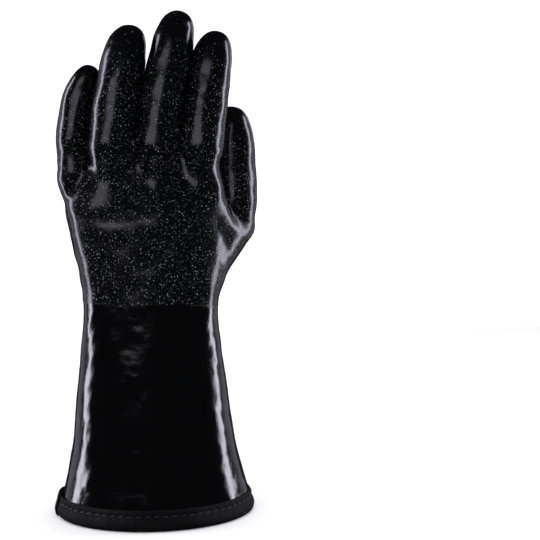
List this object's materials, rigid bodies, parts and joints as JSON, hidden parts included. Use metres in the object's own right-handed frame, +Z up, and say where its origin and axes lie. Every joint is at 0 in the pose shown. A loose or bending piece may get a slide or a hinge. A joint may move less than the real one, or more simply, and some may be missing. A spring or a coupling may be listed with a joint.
{
  "type": "heat resistant glove",
  "caption": "Left-hand insulated gauntlet glove: rough rubber-coated hand with bending fingers and thumb, smooth flared cuff with a bound hem, standing on its hem.",
  "frame": {"origin": "centre of the cuff mouth, on the plane that the hem rests on", "axes": "+Z up from the hem to the fingertips, +X to the thumb side, -Y the back of the hand, +Y the palm"},
  "size_m": [0.1431, 0.1076, 0.3426],
  "materials": {
    "rough_coat": "satin black rubber with fine pale grit",
    "smooth_coat": "glossy black rubber",
    "fleece_lining": "brushed fleece knit",
    "hem_tape": "woven black tape",
    "thread": "twisted black thread"
  },
  "bodies": {
    "cuff": {"gauntlet_coat": "smooth_coat", "gauntlet_lining": "fleece_lining", "hem_binding": "hem_tape", "hem_stitching": "thread", "binding_lap": "hem_tape", "lap_bartack": "thread"},
    "hand": {"hand_coat": "rough_coat", "hand_lining": "fleece_lining", "wrist_fold": "rough_coat"},
    "index_base": {"index_base_coat": "rough_coat", "index_base_lining": "fleece_lining", "index_knuckle_fold": "rough_coat"},
    "index_middle": {"index_middle_coat": "rough_coat", "index_middle_lining": "fleece_lining", "index_middle_fold": "rough_coat"},
    "index_tip": {"index_tip_coat": "rough_coat", "index_tip_lining": "fleece_lining", "index_tip_fold": "rough_coat"},
    "middle_base": {"middle_base_coat": "rough_coat", "middle_base_lining": "fleece_lining", "middle_knuckle_fold": "rough_coat"},
    "middle_middle": {"middle_middle_coat": "rough_coat", "middle_middle_lining": "fleece_lining", "middle_middle_fold": "rough_coat"},
    "middle_tip": {"middle_tip_coat": "rough_coat", "middle_tip_lining": "fleece_lining", "middle_tip_fold": "rough_coat"},
    "ring_base": {"ring_base_coat": "rough_coat", "ring_base_lining": "fleece_lining", "ring_knuckle_fold": "rough_coat"},
    "ring_middle": {"ring_middle_coat": "rough_coat", "ring_middle_lining": "fleece_lining", "ring_middle_fold": "rough_coat"},
    "ring_tip": {"ring_tip_coat": "rough_coat", "ring_tip_lining": "fleece_lining", "ring_tip_fold": "rough_coat"},
    "pinky_base": {"pinky_base_coat": "rough_coat", "pinky_base_lining": "fleece_lining", "pinky_knuckle_fold": "rough_coat"},
    "pinky_middle": {"pinky_middle_coat": "rough_coat", "pinky_middle_lining": "fleece_lining", "pinky_middle_fold": "rough_coat"},
    "pinky_tip": {"pinky_tip_coat": "rough_coat", "pinky_tip_lining": "fleece_lining", "pinky_tip_fold": "rough_coat"},
    "thumb_base": {"thumb_base_coat": "rough_coat", "thumb_base_lining": "fleece_lining", "thumb_base_fold": "rough_coat"},
    "thumb_tip": {"thumb_tip_coat": "rough_coat", "thumb_tip_lining": "fleece_lining", "thumb_tip_fold": "rough_coat"}
  },
  "joints": [
    {"name": "wrist", "type": "hinge", "parent": "cuff", "child": "hand", "pos_m": [0, 0, 0.14], "axis": [-1, 0, 0], "range_deg": [-25, 35], "stiffness_Nm_per_rad": 2, "deforming": ["wrist_fold"]},
    {"name": "index_knuckle", "type": "hinge", "parent": "hand", "child": "index_base", "pos_m": [0.0322, 0.00356, 0.25773], "axis": [-0.9921, 0, 0.1253], "range_deg": [-10, 15], "stiffness_Nm_per_rad": 0.15, "deforming": ["index_knuckle_fold"]},
    {"name": "index_middle", "type": "hinge", "parent": "index_base", "child": "index_middle", "pos_m": [0.03639, 0.00564, 0.2909], "axis": [-0.9921, 0, 0.1253], "range_deg": [-4, 72], "stiffness_Nm_per_rad": 0.08, "deforming": ["index_middle_fold"]},
    {"name": "index_tip", "type": "hinge", "parent": "index_middle", "child": "index_tip", "pos_m": [0.03883, 0.00685, 0.31021], "axis": [-0.9921, 0, 0.1253], "range_deg": [-2.5, 43.5], "deforming": ["index_tip_fold"]},
    {"name": "middle_knuckle", "type": "hinge", "parent": "hand", "child": "middle_base", "pos_m": [0.00302, 0.00266, 0.25769], "axis": [-0.9932, 0, 0.1167], "range_deg": [-10, 65], "stiffness_Nm_per_rad": 0.15, "deforming": ["middle_knuckle_fold"]},
    {"name": "middle_middle", "type": "hinge", "parent": "middle_base", "child": "middle_middle", "pos_m": [0.00721, 0.00532, 0.29335], "axis": [-0.9932, 0, 0.1167], "range_deg": [-4, 72], "stiffness_Nm_per_rad": 0.08, "deforming": ["middle_middle_fold"]},
    {"name": "middle_tip", "type": "hinge", "parent": "middle_middle", "child": "middle_tip", "pos_m": [0.01018, 0.00721, 0.31861], "axis": [-0.9932, 0, 0.1167], "range_deg": [-2.5, 43.5], "deforming": ["middle_tip_fold"]},
    {"name": "ring_knuckle", "type": "hinge", "parent": "hand", "child": "ring_base", "pos_m": [-0.02532, 0.00473, 0.25768], "axis": [-0.9949, 0, 0.1011], "range_deg": [-10, 65], "stiffness_Nm_per_rad": 0.15, "deforming": ["ring_knuckle_fold"]},
    {"name": "ring_middle", "type": "hinge", "parent": "ring_base", "child": "ring_middle", "pos_m": [-0.0221, 0.00739, 0.2894], "axis": [-0.9949, 0, 0.1011], "range_deg": [-4, 72], "stiffness_Nm_per_rad": 0.08, "deforming": ["ring_middle_fold"]},
    {"name": "ring_tip", "type": "hinge", "parent": "ring_middle", "child": "ring_tip", "pos_m": [-0.01983, 0.00925, 0.31171], "axis": [-0.9949, 0, 0.1011], "range_deg": [-2.5, 43.5], "deforming": ["ring_tip_fold"]},
    {"name": "pinky_knuckle", "type": "hinge", "parent": "hand", "child": "pinky_base", "pos_m": [-0.05352, 0.00971, 0.24069], "axis": [-0.9949, 0, 0.1011], "range_deg": [-10, 65], "stiffness_Nm_per_rad": 0.15, "deforming": ["pinky_knuckle_fold"]},
    {"name": "pinky_middle", "type": "hinge", "parent": "pinky_base", "child": "pinky_middle", "pos_m": [-0.0508, 0.01189, 0.26746], "axis": [-0.9949, 0, 0.1011], "range_deg": [-4, 72], "stiffness_Nm_per_rad": 0.08, "deforming": ["pinky_middle_fold"]},
    {"name": "pinky_tip", "type": "hinge", "parent": "pinky_middle", "child": "pinky_tip", "pos_m": [-0.04888, 0.01342, 0.2863], "axis": [-0.9949, 0, 0.1011], "range_deg": [-2.5, 43.5], "deforming": ["pinky_tip_fold"]},
    {"name": "thumb_base", "type": "hinge", "parent": "hand", "child": "thumb_base", "pos_m": [0.05195, 0.02327, 0.20778], "axis": [0.7361, 0.6769, 0], "range_deg": [-45, 20], "stiffness_Nm_per_rad": 0.2, "deforming": ["thumb_base_fold"]},
    {"name": "thumb_tip", "type": "hinge", "parent": "thumb_base", "child": "thumb_tip", "pos_m": [0.05039, 0.02497, 0.24371], "axis": [-0.7361, -0.6769, 0], "range_deg": [-5, 55], "stiffness_Nm_per_rad": 0.1, "deforming": ["thumb_tip_fold"]}
  ],
  "couplings": [
    {"joint": "index_tip", "follows": "index_middle", "ratio": 0.6},
    {"joint": "middle_tip", "follows": "middle_middle", "ratio": 0.6},
    {"joint": "ring_tip", "follows": "ring_middle", "ratio": 0.6},
    {"joint": "pinky_tip", "follows": "pinky_middle", "ratio": 0.6}
  ]
}
